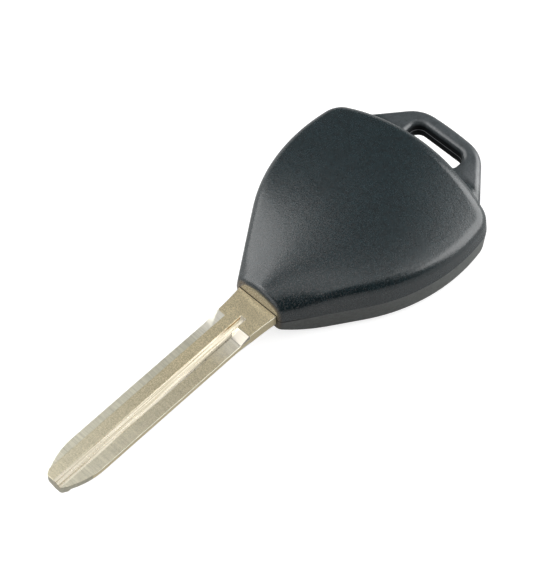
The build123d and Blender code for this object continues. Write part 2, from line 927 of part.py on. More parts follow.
with BuildPart() as trimmer:
    with BuildSketch(Plane.XY.offset(board_top)):
        with Locations((at(front_parts_at), front_across)):
            RectangleRounded(trimmer_size, trimmer_size, can_corner_radius)
    extrude(amount=trimmer_body_height)
    with Locations((at(front_parts_at), front_across, board_top)):
        Cylinder(trimmer_screw_radius, trimmer_height, align=(Align.CENTER, Align.CENTER, Align.MIN))
trimmer.part.label = "trimmer"
export_step(trimmer.part, "parts/trimmer.step")

# Coin cell, can upwards
with BuildPart() as battery_cell:
    with Locations((at(module_middle), 0, battery_base + battery_step)):
        Cylinder(
            battery_radius,
            battery_thickness - battery_step,
            align=(Align.CENTER, Align.CENTER, Align.MIN),
        )
    fillet(battery_cell.faces().sort_by(Axis.Z)[-1].edges(), battery_edge_radius)
    with Locations((at(module_middle), 0, battery_base)):
        Cylinder(
            battery_radius - battery_rim,
            battery_thickness / 2,
            align=(Align.CENTER, Align.CENTER, Align.MIN),
        )
battery_cell.part.label = "battery_cell"
export_step(battery_cell.part, "parts/battery_cell.step")

# Contact strap over the cell, with its feet on the board
leg_inside = battery_radius + contact_leg_gap
leg_outside = leg_inside + contact_sheet
foot_end = leg_outside + contact_foot
with BuildPart() as contact_positive:
    with BuildSketch(Plane.YZ.offset(at(module_middle))):
        with BuildLine():
            Polyline(
                (0, battery_top),
                (leg_inside, battery_top),
                (leg_inside, board_top),
                (foot_end, board_top),
                (foot_end, plate_top),
                (leg_outside, plate_top),
                (leg_outside, contact_top),
                (0, contact_top),
            )
            mirror(about=Plane.YZ)
        make_face()
    extrude(amount=contact_width / 2, both=True)
contact_positive.part.label = "contact_positive"
export_step(contact_positive.part, "parts/contact_positive.step")

# Contact plate under the cell
with BuildPart() as contact_negative:
    with BuildSketch(Plane.XY.offset(board_top)):
        with Locations((at(module_middle), 0)):
            RectangleRounded(plate_length, contact_width, plate_corner_radius)
            with GridLocations(slit_spacing, 0, 2, 1):
                SlotOverall(slit_length, slit_width, mode=Mode.SUBTRACT)
    extrude(amount=contact_sheet)
contact_negative.part.label = "contact_negative"
export_step(contact_negative.part, "parts/contact_negative.step")
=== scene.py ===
"""Dresses a car key: head of two moulded covers, uncut blade, buttons and the remote module."""

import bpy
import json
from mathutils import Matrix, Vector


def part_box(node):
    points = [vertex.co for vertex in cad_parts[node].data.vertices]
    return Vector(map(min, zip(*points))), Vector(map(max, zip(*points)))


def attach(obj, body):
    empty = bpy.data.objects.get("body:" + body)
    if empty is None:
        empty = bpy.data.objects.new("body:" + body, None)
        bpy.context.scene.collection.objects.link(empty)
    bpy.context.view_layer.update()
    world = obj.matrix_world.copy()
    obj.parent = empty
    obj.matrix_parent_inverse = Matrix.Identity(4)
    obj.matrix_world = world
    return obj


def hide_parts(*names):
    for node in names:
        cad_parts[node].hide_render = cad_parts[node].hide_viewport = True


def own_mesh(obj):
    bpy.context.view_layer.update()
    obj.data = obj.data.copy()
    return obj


bl_info = {
    "name": "Car Key",
    "version": (1, 0, 0),
    "blender": (4, 5, 0),
    "location": "View3D > Sidebar > Car Key",
    "description": "Finishes the pieces of a car key with a fixed uncut blade and lights them",
    "category": "Object",
}

import json
import math

import bmesh
import bpy
from bpy.props import FloatProperty, FloatVectorProperty, PointerProperty
from mathutils import Matrix, Vector

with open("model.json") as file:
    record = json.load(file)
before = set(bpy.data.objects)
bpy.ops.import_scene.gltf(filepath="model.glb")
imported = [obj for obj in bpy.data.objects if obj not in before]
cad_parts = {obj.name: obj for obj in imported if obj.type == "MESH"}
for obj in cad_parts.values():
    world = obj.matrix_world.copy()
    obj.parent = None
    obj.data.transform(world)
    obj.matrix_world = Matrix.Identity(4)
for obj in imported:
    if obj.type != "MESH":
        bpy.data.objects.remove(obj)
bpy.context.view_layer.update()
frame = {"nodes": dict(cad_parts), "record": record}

MM = 0.001
BUTTONS = ("lock", "unlock", "panic")

# ---------------------------------------------------------------- places on the key, in metres

# Head: X along it, Y across it, Z up.
PARTING_Z = 5.2 * MM                # the two covers meet here
BLADE_END_X = -0.9 * MM             # the head's end face lies before this
BLADE_END_Z = 8.6 * MM              # and below this
LOOP_X, LOOP_Z = 41.0 * MM, 7.6 * MM        # the ring loop begins here and is lower than this
LOOP_END_X = 45.8 * MM              # rounding at the loop's end
LOOP_SHOULDER_Y = -8.8 * MM         # its shoulder on the -Y side
SLOT_X = 40.5 * MM, 45.0 * MM       # the slot's walls lie between these
SLOT_Y, SLOT_Z = 5.75 * MM, 6.6 * MM        # within this of the centre line, and below this
SLOT_SEAM_Z = 5.22 * MM, 5.40 * MM  # the covers' joint inside the slot

# Blade: X along it; Y across it, as seen from either face; levels over its middle plane.
FLANK_Y = 3.55 * MM                 # the narrow sides begin here
EDGE_STRIP_Y = 1.0 * MM             # middle of the rib; the edge strip lies beyond it
SLOPE_Y = -1.47 * MM, 0.16 * MM     # the slope from the rib down to the deep strip
DEEP_STRIP_Y = -1.5 * MM            # the deep, narrow strip ends here
GROOVE_Y = -0.03 * MM               # line of the channel beside the rib, which has a painted dark reflection of the head
GROOVE_X = -9.6 * MM, -5.3 * MM     # and its ends
RAMP_X = -9.1 * MM, -7.0 * MM       # the deep strip climbs out between these
STRIPS_END_X = -6.9 * MM            # beyond this the blade has its full thickness
DEEP_LEVEL, EDGE_LEVEL, FULL_LEVEL = 0.45 * MM, 0.65 * MM, 1.15 * MM

# ---------------------------------------------------------------- colours

BLACK = (0.0, 0.0, 0.0)
WHITE = (1.0, 1.0, 1.0)
# Painted glints on single grains of the covers.
PAINTED_GLINT = (0.046, 0.046, 0.047)
# Painted sheen on the ring loop.
PAINTED_LOOP_SHEEN = (0.105, 0.112, 0.118)
# Painted reflection of the blade in the head's end face.
PAINTED_BLADE_REFLECTION = (0.115, 0.092, 0.062)
# Painted shade on the slot's walls.
SLOT_PAINTED_SHADE = (0.004, 0.006, 0.007)
# Painted highlight on the covers' seam inside the slot.
SLOT_SEAM_HIGHLIGHT = (0.26, 0.27, 0.28)
RUN_OUT_BRIGHT = (0.93, 0.90, 0.80)
RAMP_DARK, RAMP_PALE = (0.36, 0.33, 0.28), (0.48, 0.455, 0.40)
SLOPE_BRIGHT = (0.69, 0.637, 0.52)
# Painted dark reflection of the head in the blade's channel beside the rib.
GROOVE_PAINTED_REFLECTION = (0.20, 0.125, 0.045)
# Painted highlight on the blade's broken edge.
PAINTED_EDGE_HIGHLIGHT = (0.96, 0.92, 0.80)
ROOT_SHADE = (0.02, 0.018, 0.015)
TRACK_GREEN, MASK_GREEN = (0.035, 0.23, 0.085), (0.012, 0.115, 0.04)

# ---------------------------------------------------------------- how pieces are made

MERGE_DISTANCE = 0.000001                   # corners closer than this are one
CUT_TOLERANCE = 0.0001 * MM                 # the usual 0.1 mm would spoil such small pieces
FLAT_ANGLE = math.radians(0.3)              # triangles this level with each other are one face
SHARP_ANGLE = math.radians(28)              # edges sharper than this are broken
SMALL_PIECE_ANGLE = math.radians(30)        # blunter edges of the small pieces are shaded smooth
BLADE_ANGLE = math.radians(20)              # and of the blade

# ---------------------------------------------------------------- stage

VIEW_CENTRE = (3.954 * MM, -0.096 * MM, 6.35 * MM)
LAMP_AIM = (0.01, 0, 0.005)
CARD_DISTANCE = 0.5
FLOOR_SIZE, FLOOR_Z = 6.0, -0.0002
FLOOR_GREY, FLOOR_GLOW = (0.38, 0.38, 0.38), 0.78
FLOOR_IN_REFLECTIONS = 0.08                 # share of the floor's glow that reflections see
ROOM_LIGHT = 0.11                           # brightness of the room round the key
ROOM_IN_REFLECTIONS = 0.06                  # share of the white backdrop that reflections see

# Soft boxes: name, width and height, distance, azimuth and elevation in degrees, radiance.
LAMPS = (
    ("soft box on the right", (1.12, 0.96), 0.8, -31, 22, 4.4),
    ("soft box on the left", (0.80, 1.00), 0.8, 108, 35, 2.8),
    ("strip before the toe", (0.36, 0.78), 0.8, 150, 40, 2.2),
    ("strip over the shoulder", (0.16, 0.15), 0.8, -45, 62, 2.7),
    ("strip over the toe", (0.26, 0.18), 0.8, 72, 68, 0.9),
    ("soft box overhead", (0.6, 0.68), 0.93, -140, 78, 0.85),
)
# Cards that only show in reflections: name, width and height, azimuth and elevation, glow.
CARDS = (
    ("dark card in front", (0.60, 0.76), -118, 22, 0.0),
    ("pale card before the toe", (0.50, 0.30), -178, 26, 1.7),
)


# ---------------------------------------------------------------- settings in the panel

class KeyHeadSettings(bpy.types.PropertyGroup):
    """Finish of the two moulded covers."""

    plastic: FloatVectorProperty(
        name="Plastic", description="Colour of the rear cover",
        subtype="COLOR", size=3, min=0, max=1, default=(0.0048, 0.0116, 0.0140),
    )
    front_plastic: FloatVectorProperty(
        name="Front plastic", description="Colour of the front cover",
        subtype="COLOR", size=3, min=0, max=1, default=(0.046, 0.053, 0.048),
    )
    grain: FloatProperty(
        name="Grain", description="Width of one grain of the moulded texture",
        default=0.00026, unit="LENGTH",
    )
    grain_depth: FloatProperty(
        name="Grain depth",
        description="Height of the grain on the rear cover; half of it on the front cover",
        default=0.000030, unit="LENGTH",
    )
    smooth_angle: FloatProperty(
        name="Smooth angle", description="Edges blunter than this are shaded smooth",
        default=math.radians(24), unit="ROTATION",
    )


class KeyBladeSettings(bpy.types.PropertyGroup):
    """Finish of the nickel silver blade."""

    metal: FloatVectorProperty(
        name="Metal", description="Colour of the blade",
        subtype="COLOR", size=3, min=0, max=1, default=(0.585, 0.508, 0.337),
    )
    milled: FloatVectorProperty(
        name="Milled metal", description="Colour where the cutter has been",
        subtype="COLOR", size=3, min=0, max=1, default=(0.48, 0.46, 0.372),
    )
    line_width: FloatProperty(
        name="Cutter lines", description="Spacing of the lines that the cutter leaves",
        default=0.00012, unit="LENGTH",
    )
    speckle: FloatProperty(
        name="Speckle", description="Size of the speckles on the tumbled faces",
        default=0.00018, unit="LENGTH",
    )
    edge: FloatProperty(
        name="Edge", description="Width of the broken edge",
        default=0.00013, unit="LENGTH",
    )
    root: FloatProperty(
        name="Root", description="Where the blade leaves the head",
        default=-0.0011, unit="LENGTH",
    )


class KeyButtonSettings(bpy.types.PropertyGroup):
    """Finish of the buttons and their signs."""

    plastic: FloatVectorProperty(
        name="Plastic", description="Colour of the buttons",
        subtype="COLOR", size=3, min=0, max=1, default=(0.022, 0.023, 0.025),
    )
    paint: FloatVectorProperty(
        name="Paint", description="Colour of the signs",
        subtype="COLOR", size=3, min=0, max=1, default=(0.62, 0.63, 0.63),
    )
    sign_share: FloatProperty(
        name="Sign", description="Size of a sign as a share of its button's length along the key",
        default=0.62, subtype="FACTOR",
    )
    sign_proud: FloatProperty(
        name="Paint proud", description="Thickness of the paint on the button",
        default=0.00002, unit="LENGTH",
    )
    sign_sunk: FloatProperty(
        name="Paint body",
        description="Half the thickness of a sign's plate, most of it inside the button",
        default=0.00005, unit="LENGTH",
    )


class KeyStageSettings(bpy.types.PropertyGroup):
    """Camera and backdrop."""

    distance: FloatProperty(
        name="Distance", description="From the camera to the key",
        default=0.41775, unit="LENGTH",
    )
    azimuth: FloatProperty(
        name="Azimuth", description="Direction of the camera round the key",
        default=math.radians(-136.34), unit="ROTATION",
    )
    elevation: FloatProperty(
        name="Elevation", description="Height of the camera over the key",
        default=math.radians(56.637), unit="ROTATION",
    )
    lens: FloatProperty(
        name="Lens", description="Focal length in millimetres", default=158.96,
    )
    backdrop: FloatProperty(
        name="Backdrop", description="Brightness of the backdrop", default=1.0,
    )


# ---------------------------------------------------------------- shader maths

class Num:
    """A number that varies over a surface, with the usual arithmetic."""

    def __init__(self, nodes, socket):
        self.nodes = nodes
        self.socket = socket

    def maths(self, operation, *others, clamp=False):
        """The result of one Math node."""
        node = self.nodes.node(
            "ShaderNodeMath", {"operation": operation, "use_clamp": clamp},
            dict(enumerate((self, *others))),
        )
        return Num(self.nodes, node.outputs[0])

    def __add__(self, other):
        return self.maths("ADD", other)

    __radd__ = __add__

    def __mul__(self, other):
        return self.maths("MULTIPLY", other)

    __rmul__ = __mul__

    def __sub__(self, other):
        return self.maths("SUBTRACT", other)

    def __rsub__(self, other):
        return (self * -1.0) + other

    def __truediv__(self, other):
        return self.maths("DIVIDE", other)

    def __abs__(self):
        return self.maths("ABSOLUTE")

    def above(self, level, width):
        """0 below the level and 1 above it, with a soft step of the given width."""
        return ((self - (level - width / 2)) / width).maths("ADD", 0.0, clamp=True)

    def below(self, level, width):
        """1 below the level and 0 above it, with a soft step of the given width."""
        return 1 - self.above(level, width)


def between(low, high, share):
    """The number that lies a share of the way from low to high."""
    return low + (high - low) * share


def scaled(colour, factor):
    """A colour made darker or paler, up to white."""
    return tuple(min(1.0, c * factor) for c in colour)


class Nodes:
    """Builds a tree of shader nodes."""

    def __init__(self, tree):
        self.tree = tree
        self.tree.nodes.clear()

    def node(self, kind, settings=None, values=None):
        """Adds a node, with its settings and the values or links of its sockets."""
        node = self.tree.nodes.new(kind)
        for key, value in (settings or {}).items():
            setattr(node, key, value)
        for key, value in (values or {}).items():
            self.feed(node.inputs[key], value)
        return node

    def feed(self, socket, value):
        """Links a socket or sets its value."""
        if isinstance(value, Num):
            value = value.socket
        if isinstance(value, bpy.types.NodeSocket):
            self.tree.links.new(value, socket)
        elif isinstance(value, (tuple, list)) and len(value) < len(socket.default_value):
            socket.default_value = (*value, 1.0)
        else:
            socket.default_value = value


class Finish(Nodes):
    """A material, whose patterns follow the axes of the piece."""

    def __init__(self, name, **shader):
        self.material = bpy.data.materials.new(name)
        self.material.use_nodes = True
        super().__init__(self.material.node_tree)
        self.shader = self.node("ShaderNodeBsdfPrincipled")
        self.output = self.node(
            "ShaderNodeOutputMaterial", None, {"Surface": self.shader.outputs[0]},
        )
        self.place = self.node("ShaderNodeTexCoord").outputs["Object"]
        self.put(**shader)

    def put(self, **shader):
        """Sets sockets of the shader: base_color=..., roughness=... and so on."""
        for key, value in shader.items():
            socket = key.replace("_", " ").title().replace("Ior", "IOR")
            self.feed(self.shader.inputs[socket], value)

    def axes(self):
        """X, Y and Z in metres."""
        split = self.node("ShaderNodeSeparateXYZ", None, {0: self.place})
        return [Num(self, out) for out in split.outputs]

    def noise(self, scale, detail, roughness, stretch=None, seed=0.0):
        """Noise from 0 to 1. The scale is in features per metre; stretch scales each axis."""
        where = self.place
        if stretch:
            mapping = self.node(
                "ShaderNodeMapping", None, {"Vector": where, "Scale": Vector(stretch)},
            )
            where = mapping.outputs[0]
        node = self.node(
            "ShaderNodeTexNoise", {"noise_dimensions": "4D"},
            {"Vector": where, "W": seed, "Scale": scale, "Detail": detail, "Roughness": roughness},
        )
        return Num(self, node.outputs["Fac"])

    def mix(self, factor, first, second):
        """The first colour where the factor is 0, the second where it is 1."""
        node = self.node(
            "ShaderNodeMix", {"data_type": "RGBA"}, {0: factor, 6: first, 7: second},
        )
        return node.outputs[2]

    def shades(self, factor, colour, dark, pale):
        """A colour that varies in brightness: times dark where the factor is 0, times pale at 1."""
        return self.mix(factor, scaled(colour, dark), scaled(colour, pale))

    def bump(self, height, distance, strength=1.0):
        """Normals that follow a height."""
        values = {"Height": height, "Distance": distance, "Strength": strength}
        return self.node("ShaderNodeBump", None, values).outputs[0]


# ---------------------------------------------------------------- finishes

def grained(name, colour, grain, depth, roughness):
    """Moulded plastic with a fine, even grain: its finish, tint, roughness and pits."""
    finish = Finish(name, specular_ior_level=0.7)
    fine = finish.noise(1 / grain, 2.0, 0.6)
    coarse = finish.noise(0.45 / grain, 1.0, 0.5, seed=7.0)
    cloud = finish.noise(140, 3.0, 0.5, seed=3.0)
    pits = 0.6 * fine + 0.4 * coarse
    tint = finish.shades(pits.above(0.5, 0.36) * 0.75 + 0.25 * cloud, colour, 0.2, 1.9)
    rough = roughness - 0.03 + 0.04 * fine + 0.02 * cloud
    finish.put(base_color=tint, roughness=rough, normal=finish.bump(pits, depth))
    return finish, tint, rough, pits


def cover_plastic(name, colour, grain, depth, roughness):
    """Grained plastic of a cover, with painted light and shade: glints, a sheen on the ring loop, a
    tan reflection of the blade and shade in the slot.
    """
    finish, tint, rough, pits = grained(name, colour, grain, depth, roughness)
    x, y, z = finish.axes()

    # Painted glints: single grains are painted a paler grey where the light would catch them, fewer
    # of them towards the ring loop.
    painted_glints = finish.noise(1.3 / grain, 0.0, 0.5, seed=11.0).above(0.60, 0.16)
    painted_glints = painted_glints * (0.75 - 0.6 * x.above(13 * MM, 17 * MM))
    tint = finish.mix(painted_glints, tint, PAINTED_GLINT)

    # The ring loop is painted paler, a painted sheen where its rounded edges would catch the light,
    # most of all at its end and on its -Y shoulder.
    loop = x.above(LOOP_X, 1.2 * MM) * z.below(LOOP_Z, 0.5 * MM)
    end = x.above(LOOP_END_X, 2.0 * MM) * 0.1 + (y * -1.0).above(-LOOP_SHOULDER_Y, 4.0 * MM)
    loop_sheen = loop * (0.30 + 0.65 * end) * (0.45 + 1.1 * pits.above(0.5, 0.4))
    tint = finish.mix(loop_sheen, tint, PAINTED_LOOP_SHEEN)
    rough = rough + 0.05 * loop

    # The end face at the blade is painted tan, a painted reflection of the blade in it, and the
    # covers' joint near it shows as a dark line.
    end_face = x.below(BLADE_END_X, 0.3 * MM) * z.below(BLADE_END_Z, 0.8 * MM)
    tint = finish.mix(end_face, tint, PAINTED_BLADE_REFLECTION)
    joint = abs(z - PARTING_Z).below(0.12 * MM, 0.05 * MM) * x.below(2.8 * MM, 4.0 * MM)
    tint = finish.mix(joint, tint, BLACK)
    finish.put(base_color=tint, roughness=rough + 0.6 * joint)

    # The slot's walls get painted shade, dark and with little shine, and a painted highlight along
    # the line where the covers meet.
    inside = x.above(SLOT_X[0], 0.1 * MM) * x.below(SLOT_X[1], 0.1 * MM)
    inside = inside * abs(y).below(SLOT_Y, 0.1 * MM) * z.below(SLOT_Z, 0.5 * MM)
    seam_highlight = z.above(SLOT_SEAM_Z[0], 0.04 * MM) * z.below(SLOT_SEAM_Z[1], 0.04 * MM)
    painted_slot_shade = finish.node("ShaderNodeBsdfPrincipled", None, {
        "Base Color": finish.mix(seam_highlight, SLOT_PAINTED_SHADE, SLOT_SEAM_HIGHLIGHT),
        "Roughness": 0.6,
        "Specular IOR Level": 0.12,
    })
    both = finish.node(
        "ShaderNodeMixShader", None,
        {0: inside, 1: finish.shader.outputs[0], 2: painted_slot_shade.outputs[0]},
    )
    finish.feed(finish.output.inputs["Surface"], both.outputs[0])
    return finish.material


def plain_plastic(name, colour, roughness):
    """Satin moulded plastic."""
    grain, depth = 0.0002, 0.000004
    return grained(name, colour, grain, depth, roughness)[0].material


def nickel_silver(look, middle, top):
    """Blade metal: speckled where the blank was left, bright with cutter lines where milled."""
    finish = Finish("nickel silver", metallic=1.0)
    metal, silver = tuple(look.metal), tuple(look.milled)

    # Where on the blade: each mask is 1 on its own part.
    x, y, z = finish.axes()
    height = abs(z - middle)
    across = y * (z - middle).maths("SIGN")
    milled = height.below(top - 0.03 * MM, 0.02 * MM)
    beyond = across.above(EDGE_STRIP_Y, 0.1 * MM)
    level = between(DEEP_LEVEL, EDGE_LEVEL, beyond)
    level = between(level, FULL_LEVEL, x.above(STRIPS_END_X, 0.02 * MM))
    over = height - level
    flank = abs(y).above(FLANK_Y, 0.05 * MM)
    side = over.below(-0.10 * MM, 0.04 * MM) * flank
    brim = over.above(-0.11 * MM, 0.03 * MM) * over.below(-0.012 * MM, 0.01 * MM) * flank
    slope = across.above(SLOPE_Y[0], 0.06 * MM) * across.below(SLOPE_Y[1], 0.02 * MM) * milled
    edge_strip = beyond * milled
    towards_tip = x.below(-30 * MM, 26 * MM)
    run_out = x.above(-11.5 * MM, 6.0 * MM) * milled * (1 - side)
    ramp = x.above(RAMP_X[0], 0.1 * MM) * x.below(RAMP_X[1], 0.05 * MM)
    ramp = ramp * across.below(DEEP_STRIP_Y, 0.05 * MM) * (1 - side)
    groove = x.above(GROOVE_X[0], 3.0 * MM) * x.below(GROOVE_X[1], 0.3 * MM)
    groove = groove * abs(across - GROOVE_Y).below(0.13 * MM, 0.08 * MM) * milled

    # Patterns: speckles of the tumbling, blotches, and lines of the cutter along and across.
    speck = finish.noise(1 / look.speckle, 2.0, 0.6)
    blotch = finish.noise(1300, 2.0, 0.5, seed=5.0)
    lines = finish.noise(1 / look.line_width, 1.0, 0.5, stretch=(0.012, 1.0, 1.0), seed=9.0)
    cross = finish.noise(3200, 2.0, 0.6, stretch=(1.0, 0.06, 1.0), seed=11.0)

    # Colours, from the broad faces to the small parts laid over them.
    worn = 0.75 * speck.above(0.5, 0.34) + 0.35 * x.above(-14 * MM, 26 * MM) + 0.2 * (blotch - 0.5)
    plain = finish.shades(worn, metal, 0.52, 1.38)
    strips = finish.shades(0.6 * cross.above(0.5, 0.4) + 0.4 * speck, silver, 0.8, 1.42)
    silvery = edge_strip.maths("MAXIMUM", 0.25 + 0.6 * towards_tip)
    tone = finish.mix(milled * silvery + (1 - milled) * 0.5 * towards_tip, plain, strips)
    tone = finish.mix(run_out * (0.3 + 0.9 * cross), tone, RUN_OUT_BRIGHT)
    tone = finish.mix(ramp, tone, finish.mix(cross, RAMP_DARK, RAMP_PALE))
    sloping = finish.mix(lines.above(0.46, 0.26), scaled(metal, 0.66), SLOPE_BRIGHT)
    tone = finish.mix(slope, tone, sloping)
    # A painted dark reflection of the head in the channel beside the rib, with cutter lines.
    tone = finish.mix(groove * (0.5 + 0.8 * lines), tone, GROOVE_PAINTED_REFLECTION)
    tone = finish.mix(side, tone, finish.shades(speck, metal, 1.05, 1.7))
    # A painted highlight along the broken edges of the narrow sides.
    tone = finish.mix(brim, tone, PAINTED_EDGE_HIGHLIGHT)
    tone = finish.mix(x.above(look.root - 0.10 * MM, 0.05 * MM), tone, ROOT_SHADE)

    relief = (1 - milled) * speck + milled * (0.35 * slope * lines + (1 - slope) * 0.6 * cross)
    finish.put(
        base_color=tone,
        roughness=0.29 + 0.10 * blotch - 0.06 * slope,
        normal=finish.bump(relief, 0.000010),
    )
    return finish.material


def fine_finish(name, colour, size, shades, rough, relief, stretch=None, **shader):
    """A finish with one fine pattern. Each pair says how the pattern changes it:

    size: features per metre and detail; shades: darkest and palest; rough: least and added
    roughness; relief: depth and strength of the bump.
    """
    finish = Finish(name, **shader)
    pattern = finish.noise(*size, 0.6, stretch=stretch)
    finish.put(
        base_color=finish.shades(pattern, colour, *shades),
        roughness=rough[0] + rough[1] * pattern,
        normal=finish.bump(pattern, *relief),
    )
    return finish.material


def silicone(name, colour):
    """Dull, slightly dusty rubber."""
    return fine_finish(
        name, colour, (2500, 3.0), (0.85, 1.25), (0.62, 0.15), (0.00001, 0.6),
        specular_ior_level=0.35,
    )


def plated(name, colour, roughness, stretch=None):
    """Thin plated metal with faint rolling lines."""
    return fine_finish(
        name, colour, (6000, 2.0), (0.88, 1.08), (roughness, 0.12), (0.000004, 0.8), stretch,
        metallic=1.0,
    )


def ceramic(name, colour):
    """Fired ceramic or dry paint."""
    return fine_finish(name, colour, (5000, 2.0), (0.9, 1.1), (0.45, 0.1), (0.000005, 0.6))


def solder_mask(name):
    """Green laminate with tracks and a weave under its lacquer."""
    finish = Finish(name, coat_roughness=0.15, coat_weight=0.4)
    weave = finish.noise(3500, 1.0, 0.4)
    tracks = finish.noise(700, 0.0, 0.0, stretch=(1.0, 3.0, 1.0), seed=2.0)
    between_tracks = abs(tracks - 0.5).above(0.035, 0.01)
    finish.put(
        base_color=finish.mix(between_tracks, TRACK_GREEN, MASK_GREEN),
        roughness=0.38 + 0.1 * weave,
        normal=finish.bump((1 - between_tracks) + 0.2 * weave, 0.00002, 0.7),
    )
    return finish.material


# ---------------------------------------------------------------- making pieces

def deselect_all():
    """Leave edit mode and select nothing."""
    if bpy.context.object and bpy.context.object.mode != "OBJECT":
        bpy.ops.object.mode_set(mode="OBJECT")
    bpy.ops.object.select_all(action="DESELECT")


def activate(piece):
    """Select one piece only."""
    deselect_all()
    piece.select_set(True)
    bpy.context.view_layer.objects.active = piece


def edit(piece):
    """Open one piece in edit mode, with all of it selected."""
    activate(piece)
    bpy.ops.object.mode_set(mode="EDIT")
    bpy.ops.mesh.select_all(action="SELECT")


def close_edit():
    """Back to object mode."""
    bpy.ops.object.mode_set(mode="OBJECT")


def select_only(piece, kind, wanted):
    """In edit mode, select the edges or the faces that are wanted, and nothing else."""
    bpy.ops.mesh.select_mode(type=kind)
    bpy.ops.mesh.select_all(action="DESELECT")
    mesh = bmesh.from_edit_mesh(piece.data)
    for item in mesh.edges if kind == "EDGE" else mesh.faces:
        if wanted(item):
            item.select_set(True)
    bmesh.update_edit_mesh(piece.data)


def cut(place, direction, keep_beyond=False):
    """In edit mode, cut with a plane and close the cut; keep what is behind it, or beyond it."""
    bpy.ops.mesh.select_all(action="SELECT")
    bpy.ops.mesh.bisect(
        plane_co=place, plane_no=direction, use_fill=True, threshold=CUT_TOLERANCE,
        clear_inner=keep_beyond, clear_outer=not keep_beyond,
    )


def wear(piece, material):
    """Gives a piece one material."""
    piece.data.materials.clear()
    piece.data.materials.append(material)


def body_with(node):
    """Name of the body that a CAD node belongs to."""
    for body, nodes in frame["record"]["behaviour"]["bodies"].items():
        if node in nodes:
            return body
    raise RuntimeError("no body for " + node)


def slot_of(node):
    """Material slot of a CAD node."""
    for entry in frame["record"]["subparts"]:
        if entry["node"] == node:
            return entry["material_slot"]
    raise RuntimeError("no slot for " + node)


def smoothed(node, name, angle, edge=0.0):
    """A copy of a CAD piece, in its place.

    Its triangles are joined, its blunt edges shaded smooth and, with an edge width, its sharp
    ones broken.
    """
    source = frame["nodes"][node]
    piece = bpy.data.objects.new(name, source.data.copy())
    bpy.context.scene.collection.objects.link(piece)
    edit(piece)
    bpy.ops.mesh.customdata_custom_splitnormals_clear()
    bpy.ops.mesh.remove_doubles(threshold=MERGE_DISTANCE)
    bpy.ops.mesh.dissolve_limited(angle_limit=FLAT_ANGLE)
    close_edit()
    if edge:
        bevel = piece.modifiers.new("Broken edges", "BEVEL")
        bevel.width = edge
        bevel.segments = 2
        bevel.limit_method = "ANGLE"
        bevel.angle_limit = SHARP_ANGLE
        bevel.use_clamp_overlap = True
        bpy.ops.object.modifier_apply(modifier=bevel.name)
    bpy.ops.object.shade_smooth_by_angle(angle=angle)
    normals = piece.modifiers.new("Flat faces stay flat", "WEIGHTED_NORMAL")
    normals.keep_sharp = True
    normals.weight = 100
    bpy.ops.object.modifier_apply(modifier=normals.name)
    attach(piece, body_with(node))
    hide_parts(node)
    slot_of(node)
    return piece


def flat_box(size, at, corner=0.0):
    """A thin plate, with round corners if asked for; all in metres."""
    deselect_all()
    bpy.ops.mesh.primitive_cube_add(size=1.0, location=(0, 0, 0))
    plate = bpy.context.object
    edit(plate)
    bpy.ops.transform.resize(value=size)
    bpy.ops.transform.translate(value=at)
    if corner:
        half_height = size[2] / 2

        def upright(edge):
            low, high = edge.verts
            return abs(low.co.z - high.co.z) > half_height

        select_only(plate, "EDGE", upright)
        bpy.ops.mesh.bevel(offset=corner, segments=5, affect="EDGES")
    close_edit()
    return plate


def flat_arc(radius, width, thickness, at, cuts, leg=0.0):
    """Part of a flattened ring round Z: each cut takes away what lies on its outward side.

    Legs run on from the ends at x = 0, along +X. All in metres.
    """
    deselect_all()
    bpy.ops.mesh.primitive_torus_add(
        location=(0, 0, 0), major_radius=radius, minor_radius=width / 2,
        major_segments=46, minor_segments=12,
    )
    arc = bpy.context.object
    edit(arc)
    bpy.ops.transform.resize(value=(1.0, 1.0, thickness / width))
    for outward in cuts:
        cut((0, 0, 0), outward)
    if leg:
        on_plane = 0.001 * MM
        select_only(arc, "FACE", lambda face: all(abs(v.co.x) < on_plane for v in face.verts))
        bpy.ops.mesh.extrude_region_move(TRANSFORM_OT_translate={"value": (leg, 0, 0)})
    bpy.ops.mesh.select_all(action="SELECT")
    bpy.ops.mesh.normals_make_consistent(inside=False)
    bpy.ops.transform.translate(value=at)
    close_edit()
    return arc


def joined(pieces, name):
    """One piece made of several."""
    deselect_all()
    for piece in pieces:
        piece.select_set(True)
    bpy.context.view_layer.objects.active = pieces[0]
    bpy.ops.object.join()
    piece = bpy.context.object
    piece.name = name
    bpy.ops.object.shade_smooth_by_angle(angle=SMALL_PIECE_ANGLE)
    return piece


def padlock(size, middle, thickness, swung):
    """Padlock sign with its shackle towards the blade, closed or swung aside."""
    length, width, corner, body_x = (share * size for share in (0.46, 0.62, 0.07, 0.20))
    radius, bar, leg = (share * size for share in (0.19, 0.09, 0.16))
    shackle_x, aside = -0.17 * size, -0.36 * size
    shackle_at = middle + Vector((shackle_x, aside if swung else 0.0, 0))
    return [
        flat_box((length, width, thickness), middle + Vector((body_x, 0, 0)), corner),
        flat_arc(radius, bar, thickness, shackle_at, [(1, 0, 0)], leg),
    ]


